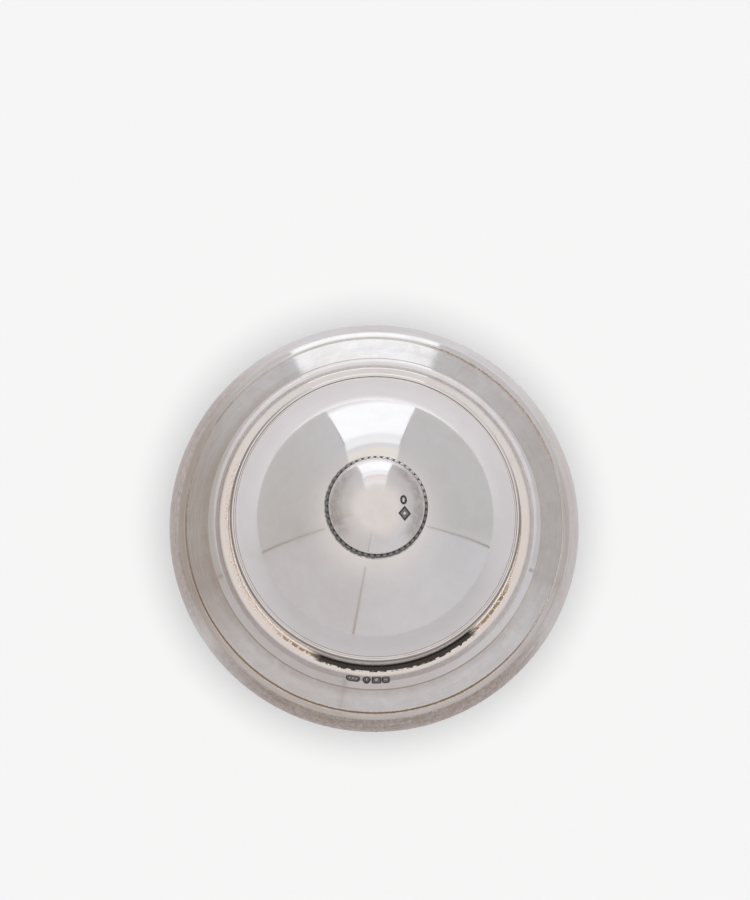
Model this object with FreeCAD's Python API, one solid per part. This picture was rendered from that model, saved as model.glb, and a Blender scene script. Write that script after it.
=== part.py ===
import FreeCAD, Part
import math
import os

# A covered silver sugar bowl on a low foot. The loose lid stands in the neck and lifts straight off.
# Millimetres. +Z is up, the vertical axis is the axis of every turned piece, and the foot rests on z = 0.
# "_r" is a radius and "_z" a height.

# ---- driving dimensions -------------------------------------------------------------------------
outer_r = 55.4              # widest part of the belly
groove_r = 50.8             # groove between the shoulder and the girdle wire
groove_z = 51.0             # height of the shoulder at that groove
sheet = 1.0                 # silver sheet of the bowl
lid_sheet = 0.9             # silver sheet of the lid
dome_r = 41.0               # outer radius of the lid's dome, a part of a sphere
lid_r = 38.6                # outside of the lid's upright band
knob_r = 12.5               # lip of the button knob
lid_fit = 0.25              # radial play of the lid's bezel in its seat
band_play = 0.55            # radial gap between the lid's band and the ledge around it
rest_gap = 0.10             # the lid's feet stand this far clear of the seat
solder_gap = 0.03           # room that the solder fills between two rings

# ---- bowl ---------------------------------------------------------------------------------------
belly_z = 44.4              # height of the widest part
bottom_z = 6.0              # underside of the bowl, inside the foot
lip_z = groove_z - 0.8      # flat lip turned in at the top of the belly
lip_in_r = 50.0
lip_out_r = 52.5
band_bow = 0.45             # how far the band above the belly swells beyond a straight slope

shoulder_edge_r = 50.65     # outer edge of the shoulder ring
shoulder_in_r = 43.3
neck_foot_r = 44.7          # outer foot of the neck, on the shoulder
neck_foot_z = groove_z + 3.1
neck_wall = 1.2
bend_r = 42.7               # the neck grows steeper above this bend
bend_z = neck_foot_z + 2.1
ledge_r = 41.15             # outer edge of the flat ledge on top of the neck
ledge_z = groove_z + 8.3
ledge_in_r = lid_r + band_play
edge_round = 0.45
seat_z = ledge_z - 1.6      # top of the ring that carries the lid
seat_thick = 1.1
seat_out_r = ledge_r - neck_wall

# ---- foot ---------------------------------------------------------------------------------------
foot_top_r = 28.6
foot_top_z = 9.0            # runs into the belly and is trimmed to it
foot_spread_r = 32.6
foot_wire_r = 34.2
foot_wire_in_r = 31.2
foot_wire_h = 1.8
foot_hollow = 1.5           # depth of the foot's inward sweep

# ---- lid ----------------------------------------------------------------------------------------
dome_edge_z = groove_z + 17.7
dome_edge_r = lid_r - lid_sheet - solder_gap
dome_centre_z = dome_edge_z - math.sqrt(dome_r ** 2 - dome_edge_r ** 2)
dome_turn_down = 2.2        # the dome's edge is turned down inside the band by this much
band_round = 0.5
bezel_depth = 6.0           # reach of the bezel below the seat
bezel_r = 36.35
seat_in_r = bezel_r + lid_fit
bezel_flange_h = 0.9

# ---- knob ---------------------------------------------------------------------------------------
knob_sheet = 0.8
knob_lip_width = 1.6
knob_lip_z = groove_z + 42.6
crown_ball_r = 18.2         # the button is flattest in the middle
crown_edge = math.asin(9.4 / crown_ball_r)
knob_slope = math.radians(55)   # how steep it is at its lip
round_r = (knob_r - crown_ball_r * math.sin(crown_edge)) / (math.sin(knob_slope) - math.sin(crown_edge))
plate_r = 11.4
plate_thick = 1.0
bead_count = 49
bead_d = 1.66
bead_ring_r = 12.4
bead_rest = 0.05            # the beads lie this close to the dome
bead_z = dome_centre_z + math.sqrt((dome_r + bead_rest + bead_d / 2) ** 2 - bead_ring_r ** 2)
stud_r = 1.5
stud_hole_r = 1.7
stud_head_r = 3.4
stud_head_h = 1.0
washer_r = 4.6
washer_h = 0.6
nut_across = 5.5
nut_h = 2.4
nut_play = 0.03
stud_past_nut = 0.7

UP = FreeCAD.Vector(0, 0, 1)
ORIGIN = FreeCAD.Vector(0, 0, 0)


def at(r, z):
    """A point of a turned piece's outline, in the plane through the axis."""
    return FreeCAD.Vector(r, 0, z)


def run(a, b, bow=0.0):
    """The edge from a to b: straight, or an arc whose middle stands out by bow to the left of travel."""
    if bow == 0.0:
        return Part.LineSegment(a, b).toShape()
    along = (b - a).normalize()
    left = FreeCAD.Vector(-along.z, 0, along.x)
    return Part.Arc(a, (a + b) * 0.5 + left * bow, b).toShape()


def turned(*corners):
    """A solid turned once round the axis. A corner is (r, z), or (r, z, bow) where the run to it is an arc."""
    points = [at(c[0], c[1]) for c in corners]
    bows = [c[2] if len(c) > 2 else 0.0 for c in corners]
    edges = [run(points[i - 1], points[i], bows[i]) for i in range(len(points))]
    return Part.Face(Part.Wire(edges)).revolve(ORIGIN, UP, 360)


def on_sphere(radius, centre_z, r):
    """Height of a sphere's upper half at distance r from the axis."""
    return centre_z + math.sqrt(radius ** 2 - r ** 2)


def sagitta(radius, a, b):
    """How far an arc of that radius stands out from its chord a-b, with points as (r, z)."""
    half = math.dist(a, b) / 2
    return radius - math.sqrt(radius ** 2 - half ** 2)


def sphere_arc(radius, centre_z, r_from, r_to):
    """End corner of an arc on a sphere about the axis, drawn from r_from to r_to."""
    a = (r_from, on_sphere(radius, centre_z, r_from))
    b = (r_to, on_sphere(radius, centre_z, r_to))
    out = sagitta(radius, a, b)
    return (b[0], b[1], out if r_to > r_from else -out)


# ---- bowl pieces --------------------------------------------------------------------------------

belly_ball_r = belly_z - bottom_z
flat_r = outer_r - belly_ball_r
quarter_bow = belly_ball_r * (1 - math.sqrt(0.5))
inner_quarter_bow = (belly_ball_r - sheet) * (1 - math.sqrt(0.5))


def bowl_body():
    """Raised shell: flat bottom, quarter-round belly, and a steep band that ends in a turned-in lip."""
    return turned(
        (0, bottom_z),
        (flat_r, bottom_z),
        (outer_r, belly_z, -quarter_bow),
        (lip_out_r, lip_z, -band_bow),
        (lip_in_r, lip_z),
        (lip_in_r, lip_z - sheet),
        (lip_out_r - 0.75 * sheet, lip_z - sheet),
        (outer_r - sheet, belly_z, band_bow),
        (flat_r, bottom_z + sheet, inner_quarter_bow),
        (0, bottom_z + sheet),
    )


def belly_envelope():
    """The belly filled in, to trim the foot against."""
    return turned(
        (0, bottom_z),
        (flat_r, bottom_z),
        (outer_r, belly_z, -quarter_bow),
        (0, belly_z),
    )


def girdle_wire():
    """Flat wire soldered round the lip. Its top slopes outwards like the shoulder's."""
    inner_r = groove_r + 0.15
    top_z = groove_z + 0.12
    return turned(
        (inner_r, lip_z),
        (lip_out_r + 0.08, lip_z),
        (lip_out_r + 0.08, lip_z + 0.1),
        (lip_out_r - 0.1, lip_z + 0.25, -0.03),
        (inner_r + 0.15, top_z, -0.03),
        (inner_r, top_z - 0.12, -0.03),
    )


def shoulder_ring():
    """Broad sloping ring from the girdle up to the neck, drawn to a shallow ogee."""
    edge = (shoulder_edge_r, groove_z - 0.1)
    middle = ((edge[0] + neck_foot_r) / 2, (edge[1] + neck_foot_z) / 2)
    swell = 0.05
    return turned(
        (shoulder_edge_r, lip_z),
        edge,
        (middle[0], middle[1], -swell),
        (neck_foot_r, neck_foot_z, swell),
        (shoulder_in_r, neck_foot_z),
        (shoulder_in_r, neck_foot_z - sheet),
        (neck_foot_r, neck_foot_z - sheet),
        (lip_in_r, lip_z),
    )


def neck_ring():
    """Drawn collar: a flared side that carries the struck marks, a flat ledge on top and a hemmed edge."""
    return turned(
        (neck_foot_r, neck_foot_z),
        (bend_r, bend_z, 0.05),
        (ledge_r + edge_round, ledge_z - edge_round, 0.03),
        (ledge_r, ledge_z, -0.1),
        (ledge_in_r, ledge_z),
        (ledge_in_r, seat_z),
        (seat_out_r, seat_z),
        (bend_r - neck_wall, bend_z - 0.6),
        (neck_foot_r - neck_wall, neck_foot_z),
    )


def lid_seat():
    """Flat ring soldered inside the neck. The lid's band stands on it and its bezel drops through it."""
    return turned(
        (seat_in_r, seat_z),
        (seat_out_r, seat_z),
        (seat_out_r, seat_z - seat_thick),
        (seat_in_r, seat_z - seat_thick),
    )


def foot_ring():
    """Spun foot with an inward sweep, trimmed to the belly."""
    ring = turned(
        (foot_top_r, foot_top_z),
        (foot_spread_r, foot_wire_h, -foot_hollow),
        (foot_spread_r - sheet - 0.2, foot_wire_h),
        (foot_top_r - sheet - 0.2, foot_top_z, foot_hollow),
    )
    return ring.cut(belly_envelope())


def foot_wire():
    """Rounded wire under the foot. Its flat underside is what the bowl stands on."""
    return turned(
        (foot_wire_in_r, 0),
        (foot_wire_r - 0.6, 0),
        (foot_wire_r - 0.6, foot_wire_h, -0.6),
        (foot_wire_in_r, foot_wire_h),
    )


# ---- lid pieces ---------------------------------------------------------------------------------

dome_in_r = dome_r - lid_sheet


def lid_dome():
    """Nearly half a sphere, pierced for the knob's stud, with its edge turned down inside the band."""
    inner_edge_r = dome_edge_r - lid_sheet
    return turned(
        sphere_arc(dome_in_r, dome_centre_z, inner_edge_r, stud_hole_r),
        (stud_hole_r, on_sphere(dome_r, dome_centre_z, stud_hole_r)),
        sphere_arc(dome_r, dome_centre_z, stud_hole_r, dome_edge_r),
        (dome_edge_r, dome_edge_z - dome_turn_down),
        (inner_edge_r, dome_edge_z - dome_turn_down),
        (inner_edge_r, on_sphere(dome_in_r, dome_centre_z, inner_edge_r)),
    )


def lid_band():
    """Upright band round the lid, from its seat up to the dome's edge, rounded over at the top."""
    top_z = dome_edge_z + 0.05
    bottom = seat_z + rest_gap
    return turned(
        (lid_r - lid_sheet, bottom),
        (lid_r, bottom),
        (lid_r, top_z - band_round),
        (lid_r - band_round, top_z, -0.14),
        (lid_r - lid_sheet, top_z),
    )


def lid_bezel():
    """Angle ring inside the foot of the band. Its leg drops through the seat and keeps the lid centred."""
    flange_r = lid_r - lid_sheet - solder_gap
    top_z = seat_z + rest_gap + bezel_flange_h
    inner_r = bezel_r - lid_sheet
    return turned(
        (inner_r, seat_z - bezel_depth),
        (bezel_r, seat_z - bezel_depth),
        (bezel_r, seat_z + rest_gap),
        (flange_r, seat_z + rest_gap),
        (flange_r, top_z),
        (inner_r, top_z),
    )


# ---- knob pieces --------------------------------------------------------------------------------

plate_top_r = dome_r + plate_thick
dome_top_z = dome_centre_z + dome_r
plate_top_z = dome_centre_z + plate_top_r
washer_top_z = on_sphere(dome_in_r, dome_centre_z, washer_r) - solder_gap
nut_top_z = washer_top_z - washer_h
nut_bottom_z = nut_top_z - nut_h


def knob_plate():
    """Dished disc that closes the knob and lies on the dome, pierced for the stud."""
    return turned(
        sphere_arc(dome_r, dome_centre_z, plate_r, stud_r),
        (stud_r, on_sphere(plate_top_r, dome_centre_z, stud_r)),
        sphere_arc(plate_top_r, dome_centre_z, stud_r, plate_r),
        (plate_r, on_sphere(dome_r, dome_centre_z, plate_r)),
    )


def knob_cap():
    """Hollow domed button: a flat crown that rounds over to its lip, which stands on the plate's rim."""
    round_z = knob_lip_z - round_r * math.cos(knob_slope)
    round_axis_r = knob_r - round_r * math.sin(knob_slope)
    crown_z = round_z - (crown_ball_r - round_r) * math.cos(crown_edge)
    crown_in_r = crown_ball_r - knob_sheet
    round_in_r = round_r - knob_sheet
    join_r = crown_ball_r * math.sin(crown_edge)
    join_in_r = crown_in_r * math.sin(crown_edge)
    inner_r = knob_r - knob_lip_width
    rim_z = on_sphere(plate_top_r, dome_centre_z, inner_r) + solder_gap
    inner_top = (inner_r, on_sphere(round_in_r, round_z, inner_r - round_axis_r))
    join_in = (join_in_r, on_sphere(crown_in_r, crown_z, join_in_r))
    join = (join_r, on_sphere(crown_ball_r, crown_z, join_r))
    lip = (knob_r, knob_lip_z)
    return turned(
        (*join_in, -sagitta(round_in_r, inner_top, join_in)),
        sphere_arc(crown_in_r, crown_z, join_in_r, 0),
        (0, crown_z + crown_ball_r),
        sphere_arc(crown_ball_r, crown_z, 0, join_r),
        (*lip, sagitta(round_r, join, lip)),
        (knob_r - 0.12, knob_lip_z - 0.22, -0.04),
        (plate_r, rim_z),
        (inner_r, rim_z),
        inner_top,
    )


def knob_beads():
    """Beaded wire round the knob: equal round beads that grow into each other at narrow flat waists."""
    half_step = math.pi / bead_count
    reach = bead_ring_r + bead_d
    side = reach * math.tan(half_step)
    low_z = bead_z - bead_d
    corners = [at(0, low_z), FreeCAD.Vector(reach, -side, low_z), FreeCAD.Vector(reach, side, low_z)]
    wedge = Part.Face(Part.makePolygon(corners + corners[:1])).extrude(UP * 2 * bead_d)
    bead = Part.makeSphere(bead_d / 2, at(bead_ring_r, bead_z)).common(wedge)
    beads = []
    for i in range(bead_count):
        copy = bead.copy()
        copy.rotate(ORIGIN, UP, math.degrees(2 * half_step * i))
        beads.append(copy)
    return beads[0].multiFuse(beads[1:])


def knob_stud():
    """Flanged stud, soldered in the plate, that ties the knob down through the dome."""
    head = Part.makeCylinder(stud_head_r, stud_head_h, at(0, plate_top_z + 0.02))
    end_z = nut_bottom_z - stud_past_nut
    shank = Part.makeCylinder(stud_r - 0.02, plate_top_z + 0.5 - end_z, at(0, end_z))
    return head.fuse(shank)


def knob_washer():
    """Washer between the inside of the dome and the nut."""
    outer = Part.makeCylinder(washer_r, washer_h, at(0, nut_top_z))
    return outer.cut(Part.makeCylinder(stud_hole_r, washer_h, at(0, nut_top_z)))


def knob_nut():
    """Six-sided nut on the stud."""
    corner_r = nut_across / math.sqrt(3)
    angles = [math.radians(60 * i) for i in range(7)]
    corners = [FreeCAD.Vector(corner_r * math.cos(a), corner_r * math.sin(a), nut_bottom_z) for a in angles]
    block = Part.Face(Part.makePolygon(corners)).extrude(UP * nut_h)
    return block.cut(Part.makeCylinder(stud_r + nut_play, nut_h, at(0, nut_bottom_z)))


pieces = {
    "bowl_body": bowl_body,
    "girdle_wire": girdle_wire,
    "shoulder_ring": shoulder_ring,
    "neck_ring": neck_ring,
    "lid_seat": lid_seat,
    "foot_ring": foot_ring,
    "foot_wire": foot_wire,
    "lid_dome": lid_dome,
    "lid_band": lid_band,
    "lid_bezel": lid_bezel,
    "knob_plate": knob_plate,
    "knob_cap": knob_cap,
    "knob_beads": knob_beads,
    "knob_stud": knob_stud,
    "knob_washer": knob_washer,
    "knob_nut": knob_nut,
}

os.makedirs("parts", exist_ok=True)
for name, make in pieces.items():
    shape = make()
    box = shape.optimalBoundingBox(False)
    print(f"{name:14s} valid {shape.isValid()} solids {len(shape.Solids)} closed {shape.isClosed()}"
          f" {shape.Volume:9.1f} mm3  z {box.ZMin:6.2f} to {box.ZMax:6.2f}  r {box.XMax:6.2f}")
    shape.exportStep(f"parts/{name}.step")
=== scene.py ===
# %% [markdown]
# # A covered silver sugar bowl
#
# This lesson dresses a finished design. The fixed frame holds every piece of the bowl at its real place and size,
# and the lid rides up and down on its own body. The frame's pieces are cut into coarse facets, which a mirror-bright
# metal would show at once, so each turned piece is turned again here, finely, from the same outline.
#
# Everything that is polished is seen by what it mirrors. So the second half of the lesson builds the silver's
# finish, and the soft card tent that silver is shown in.

# %% Load the fixed frame
import math

import bmesh
import bpy
from mathutils import Matrix, Vector


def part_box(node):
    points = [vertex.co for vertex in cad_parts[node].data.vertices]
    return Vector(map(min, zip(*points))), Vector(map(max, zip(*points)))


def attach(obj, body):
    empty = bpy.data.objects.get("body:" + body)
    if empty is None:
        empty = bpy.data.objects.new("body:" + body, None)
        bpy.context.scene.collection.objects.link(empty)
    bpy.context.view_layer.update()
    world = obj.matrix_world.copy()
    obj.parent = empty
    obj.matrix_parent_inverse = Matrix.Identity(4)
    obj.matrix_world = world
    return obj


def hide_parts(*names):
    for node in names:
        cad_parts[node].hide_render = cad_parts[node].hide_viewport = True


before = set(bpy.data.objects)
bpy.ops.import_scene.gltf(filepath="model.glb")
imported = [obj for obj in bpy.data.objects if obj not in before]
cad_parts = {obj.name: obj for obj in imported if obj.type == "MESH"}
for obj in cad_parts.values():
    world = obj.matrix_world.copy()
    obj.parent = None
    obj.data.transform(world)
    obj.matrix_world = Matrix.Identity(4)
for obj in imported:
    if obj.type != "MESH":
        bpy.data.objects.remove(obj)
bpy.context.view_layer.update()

scene = bpy.context.scene
scene.view_settings.view_transform = "Standard"
print("pieces in the frame:", ", ".join(sorted(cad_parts)))

# %% [markdown]
# ## Sizes
#
# A turned piece is told by a few radii and heights. The frame gives the ends of every piece, so those are read from
# it, in millimetres. What lies between the ends, such as a wall's thickness or how far a curve swells, is a
# value with a name.

# %% Radii and heights of the frame's pieces
MM = 0.001


class Ring:
    """Outer radius, lowest and highest point of one of the frame's pieces, in millimetres."""

    def __init__(self, node):
        low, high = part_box(node)
        self.r = high.x / MM
        self.low = low.z / MM
        self.top = high.z / MM


body = Ring("bowl_body")
girdle = Ring("girdle_wire")
shoulder = Ring("shoulder_ring")
neck = Ring("neck_ring")
seat = Ring("lid_seat")
foot = Ring("foot_ring")
foot_rim = Ring("foot_wire")
dome = Ring("lid_dome")
band = Ring("lid_band")
bezel = Ring("lid_bezel")
cap = Ring("knob_cap")
plate = Ring("knob_plate")
beads = Ring("knob_beads")
stud = Ring("knob_stud")
washer = Ring("knob_washer")
nut = Ring("knob_nut")
print(f"bowl {2 * body.r:.1f} mm across, {cap.top:.1f} mm to the top of the knob")

# %% [markdown]
# ## Turning an outline
#
# A silver bowl is raised or spun, so it is round about one axis. The quickest true way to make one is to draw half
# of its section as a closed outline and spin it. A run of the outline is straight, or an arc told by how far it bows
# out from the straight line. Real edges are never sharp, so each ring of sharp edges is bevelled after the spin.
# A weighted-normal modifier keeps the flat runs flat beside those small bevels.

# %% Outline, spin, bevel
TURNS = 256
ARC_STEP = math.radians(3)


def run_points(a, b, bow, steps=None):
    """Points from a up to b, without b, along a line or an arc that stands out by bow to the left of travel."""
    if bow == 0:
        return [a]
    chord = b - a
    left = Vector((-chord.y, chord.x)).normalized()
    radius = (chord.length_squared / 4 + bow * bow) / (2 * bow)
    centre = (a + b) / 2 + left * (bow - radius)
    turn = (a - centre).angle_signed(b - centre)
    steps = steps or max(2, math.ceil(abs(turn) / ARC_STEP))
    return [centre + Matrix.Rotation(-turn * i / steps, 2) @ (a - centre) for i in range(steps)]


def outline_points(corners):
    """The closed outline through corners (radius, height) or (radius, height, bow of the run that leads there)."""
    spots = [Vector(c[:2]) for c in corners]
    bows = [c[2] if len(c) > 2 else 0 for c in corners]
    points = []
    for i, spot in enumerate(spots):
        points += run_points(spots[i - 1], spot, bows[i])
    return points


def add_object(name, data):
    """A new object in the scene, at the origin."""
    made = bpy.data.objects.new(name, data)
    scene.collection.objects.link(made)
    return made


def mesh_object(bm, name):
    """A new object from a bmesh, which is used up."""
    mesh = bpy.data.meshes.new(name)
    bm.to_mesh(mesh)
    bm.free()
    return add_object(name, mesh)


def finish_mesh(bm, name, body_name, slot, node, sharp=25, edge=0.12, rounds=2, modifiers=True, strike=None):
    """Bevels the sharp edges, strikes any punches, smooths the faces and hands the piece to its body in the frame."""
    limit = math.radians(sharp)
    edges = [e for e in bm.edges if len(e.link_faces) == 2 and e.calc_face_angle(0) > limit]
    if edges and edge:
        bmesh.ops.bevel(bm, geom=edges, offset=edge * MM, offset_type="OFFSET", segments=rounds,
                        profile=0.5, affect="EDGES", clamp_overlap=True, material=-1)
    if strike:
        strike(bm)
    bmesh.ops.recalc_face_normals(bm, faces=bm.faces)
    for face in bm.faces:
        face.smooth = True
    piece = mesh_object(bm, name)
    if modifiers:
        even = piece.modifiers.new("even_shading", "WEIGHTED_NORMAL")
        even.weight = 80
        even.keep_sharp = False
    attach(piece, body_name)
    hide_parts(node)
    print(f"{name}: {len(piece.data.polygons)} faces")
    return piece


def turned(name, node, body_name, slot, corners, turns=TURNS, fine=None, **how):
    """Spins an outline once round the axis. A run that lies on the axis is left out, and its end points merge.

    fine is the bearing, half angle and step count of a sector that is spun in smaller steps than the rest.
    """
    points = outline_points(corners)
    bm = bmesh.new()
    dots = [bm.verts.new((p.x * MM, 0, p.y * MM)) for p in points]
    on_axis = [abs(p.x) < 1e-6 for p in points]
    for i in range(len(dots)):
        if not (on_axis[i - 1] and on_axis[i]):
            bm.edges.new((dots[i - 1], dots[i]))
    if fine is None:
        bmesh.ops.spin(bm, geom=bm.verts[:] + bm.edges[:], cent=(0, 0, 0), axis=(0, 0, 1),
                       angle=2 * math.pi, steps=turns, use_merge=True, use_duplicate=False)
    else:
        bearing, half, steps = fine
        start = Matrix.Rotation(math.radians(90 - bearing + half), 3, "Z")
        bmesh.ops.rotate(bm, cent=(0, 0, 0), matrix=start, verts=bm.verts)
        rest = bmesh.ops.spin(bm, geom=bm.verts[:] + bm.edges[:], cent=(0, 0, 0), axis=(0, 0, 1),
                              angle=math.radians(360 - 2 * half), steps=turns, use_duplicate=False)
        bmesh.ops.spin(bm, geom=rest["geom_last"], cent=(0, 0, 0), axis=(0, 0, 1),
                       angle=math.radians(2 * half), steps=steps, use_duplicate=False)
    bmesh.ops.remove_doubles(bm, verts=bm.verts, dist=0.002 * MM)
    return finish_mesh(bm, name, body_name, slot, node, **how)


def flat_ring(in_r, out_r, low, top):
    """The corners of a plain flat ring."""
    return [(in_r, low), (out_r, low), (out_r, top), (in_r, top)]


def on_ball(radius, centre, r):
    """Height of a ball's upper half at distance r from the axis."""
    return centre + math.sqrt(radius * radius - r * r)


def ball_arc(radius, centre, r_from, r_to):
    """The corner at the end of an arc on a ball about the axis."""
    ends = [Vector((r, on_ball(radius, centre, r))) for r in (r_from, r_to)]
    half = (ends[1] - ends[0]).length / 2
    out = radius - math.sqrt(radius * radius - half * half)
    return (ends[1].x, ends[1].y, out if r_to > r_from else -out)


# %% [markdown]
# ## Struck marks
#
# A silversmith strikes small punches into finished work. These hold nothing but plain shapes. A punch is told by
# two distances that are negative inside: one to its outline and one to the raised device in it. The sheet is pushed
# in inside the outline and left standing at the device. The dirt along the walls is written on the mesh, for the
# finish to find later.

# %% Punches
PUNCH_DEPTH = 0.14
PUNCH_WALL = 0.14


def oval(half_u, half_v):
    """Distance to an oval."""
    return lambda u, v: (math.hypot(u / half_u, v / half_v) - 1) * min(half_u, half_v)


def block(half_u, half_v, corner):
    """Distance to a block with rounded corners."""
    def distance(u, v):
        out_u = abs(u) - half_u + corner
        out_v = abs(v) - half_v + corner
        return math.hypot(max(out_u, 0), max(out_v, 0)) + min(max(out_u, out_v), 0) - corner
    return distance


def lozenge(half_u, half_v):
    """Distance to a lozenge."""
    return lambda u, v: (abs(u) / half_u + abs(v) / half_v - 1) * min(half_u, half_v) * 0.7


def three_dots(u, v):
    """Distance to three dots in a row."""
    return min(oval(0.3, 0.5)(u + step, v) for step in (-0.95, 0, 0.95))


def inside(distance, width):
    """1 inside and 0 outside, changing over width."""
    share = min(max(0.5 - distance / width, 0), 1)
    return share * share * (3 - 2 * share)


def struck(place, punches):
    """A function that strikes punches into a mesh.

    place gives, for a point of the mesh, its distances across and along in millimetres and the way into the
    metal, or None where nothing is struck. A punch is (across, along, outline, device).
    """
    def strike(bm):
        dirt = bm.verts.layers.float.new("punch_dirt")
        for vert in bm.verts:
            spot = place(vert.co)
            if spot is None:
                continue
            across, along, inward = spot
            for middle_u, middle_v, outline, device in punches:
                edge = outline(across - middle_u, along - middle_v)
                if edge > 0.5:
                    continue
                rise = device(across - middle_u, along - middle_v)
                field = inside(edge, PUNCH_WALL)
                raised = inside(rise, PUNCH_WALL)
                vert.co += inward * (PUNCH_DEPTH * field * (1 - 0.75 * raised) * MM)
                walls = max(inside(abs(edge + 0.16) - 0.26, 0.14), field * inside(abs(rise - 0.05) - 0.12, 0.14))
                vert[dirt] = max(vert[dirt], walls, 0.88 * field * (1 - raised))
    return strike


# %% [markdown]
# ## The bowl
#
# The body is one sheet of silver, raised into a flat-bottomed round belly. Its steep upper band ends in a lip
# that is turned in flat. On that lip sit the shoulder ring and, outside a narrow groove, the girdle wire.

# %% Bowl body
SHEET = 1.0
WIDEST_BELOW_LIP = 5.8
BELLY_ROUND = body.top - WIDEST_BELOW_LIP - body.low        # radius of the quarter-round belly
belly_z = body.low + BELLY_ROUND
flat_r = body.r - BELLY_ROUND
lip_in_r = 50.0
lip_out_r = 52.5
BAND_SWELL = 0.45
quarter = 1 - math.sqrt(0.5)

bowl = turned("bowl_raised", "bowl_body", "bowl", "bowl_silver", [
    (0, body.low),
    (flat_r, body.low),
    (body.r, belly_z, -quarter * BELLY_ROUND),
    (lip_out_r, body.top, -BAND_SWELL),
    (lip_in_r, body.top),
    (lip_in_r, body.top - SHEET),
    (lip_out_r - 0.75 * SHEET, body.top - SHEET),
    (body.r - SHEET, belly_z, BAND_SWELL),
    (flat_r, body.low + SHEET, quarter * (BELLY_ROUND - SHEET)),
    (0, body.low + SHEET),
])

# %% [markdown]
# The girdle wire's top slopes outwards like the shoulder's, and a narrow groove parts the two. The shoulder ring
# rises to the neck in a very shallow ogee: steeper at both edges than in the middle. That small difference is what
# bends the edges of a mirrored window.

# %% Girdle wire and shoulder ring
wire_in_r = 50.95
wire_round_r = girdle.r - 0.18
girdle_piece = turned("girdle_drawn", "girdle_wire", "bowl", "bowl_silver", [
    (wire_in_r, girdle.low),
    (girdle.r, girdle.low),
    (girdle.r, girdle.low + 0.1),
    (wire_round_r, girdle.low + 0.25, -0.03),
    (wire_in_r + 0.15, girdle.top, -0.03),
    (wire_in_r, girdle.top - 0.12, -0.03),
], edge=0.04)

shoulder_in_r = 43.3
OGEE = 0.05
SHOULDER_RISE = 3.2
shoulder_edge_z = shoulder.top - SHOULDER_RISE
shoulder_mid = ((shoulder.r + neck.r) / 2, (shoulder_edge_z + shoulder.top) / 2)
shoulder_piece = turned("shoulder_drawn", "shoulder_ring", "bowl", "bowl_silver", [
    (shoulder.r, shoulder.low),
    (shoulder.r, shoulder_edge_z),
    (*shoulder_mid, -OGEE),
    (neck.r, shoulder.top, OGEE),
    (shoulder_in_r, shoulder.top),
    (shoulder_in_r, shoulder.top - SHEET),
    (neck.r, shoulder.top - SHEET),
    (lip_in_r, shoulder.low),
], edge=0.1)

# %% [markdown]
# The neck ring flares twice: gently at its foot, and steeply above a bend. Its flat ledge ends in a hemmed edge that
# stands on the seat, the plain flat ring inside the neck that carries the lid. Four punches are struck in the front
# of its side, so that sector and both runs of the side get a much finer mesh.

# %% Neck ring and lid seat
NECK_WALL = 1.2
EDGE_ROUND = 0.45
BAND_PLAY = 0.55
bend = Vector((42.7, neck.low + 2.1))
ledge_r = 41.15
ledge_in_r = band.r + BAND_PLAY
side_foot = Vector((neck.r, neck.low))
side_top = Vector((ledge_r + EDGE_ROUND, neck.top - EDGE_ROUND))
upper_side = bend - side_top
lower_side = side_foot - bend
side_run = run_points(side_foot, bend, 0.05, 24) + run_points(bend, side_top, 0.03, 24)


def on_neck(co):
    """Across the front of the neck's side, down from its upper edge, and the way in."""
    r = math.hypot(co.x, co.y) / MM
    down = side_top.y - co.z / MM
    bend_down = side_top.y - bend.y
    if co.y > 0 or down < -0.01 or down > bend_down + 1.8:
        return None
    if down < bend_down:
        share = down / bend_down
        along = share * upper_side.length
        side_r = side_top.x + share * upper_side.x
    else:
        share = (down - bend_down) / (bend.y - side_foot.y)
        along = upper_side.length + share * lower_side.length
        side_r = bend.x + share * lower_side.x
    if abs(r - side_r) > 0.2:
        return None
    across = math.atan2(co.x, -co.y) * bend.x
    way_in = Vector((-co.x / r, -co.y / r, 0)) * (0.9 / MM) + Vector((0, 0, -0.43))
    return across, along, way_in


neck_punches = [
    (-5.9, 2.0, block(1.85, 1.5, 1.0), three_dots),
    (-2.2, 2.05, oval(1.05, 1.75), block(0.22, 0.85, 0.1)),
    (0.45, 2.05, block(1.2, 1.7, 0.3), lozenge(0.7, 1.05)),
    (2.95, 2.05, block(1.05, 1.7, 0.85), block(0.5, 0.25, 0.1)),
]
neck_piece = turned("neck_drawn", "neck_ring", "bowl", "bowl_silver", [
    *side_run,
    side_top,
    (ledge_r, neck.top, -0.1),
    (ledge_in_r, neck.top),
    (ledge_in_r, seat.top),
    (seat.r, seat.top),
    (bend.x - NECK_WALL, bend.y - 0.6),
    (neck.r - NECK_WALL, neck.low),
], fine=(182.6, 9.5, 120), edge=0.08, strike=struck(on_neck, neck_punches))

seat_in_r = 36.6
seat_piece = turned("seat_ring", "lid_seat", "bowl", "bowl_silver", flat_ring(seat_in_r, seat.r, seat.low, seat.top))

# %% [markdown]
# ## The foot
#
# A spun ring sweeps inwards under the belly, and a rounded wire stiffens its edge. The bowl stands on that wire.
# The top of the foot follows the belly, so its two upper corners are worked out from the belly's round.

# %% Foot ring and foot wire
FOOT_SWEEP = 1.5
FOOT_WALL = 1.2


def belly_underside(r):
    """Height of the belly's outside at distance r from the axis, below its widest part."""
    return belly_z - math.sqrt(BELLY_ROUND ** 2 - (r - flat_r) ** 2)


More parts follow.
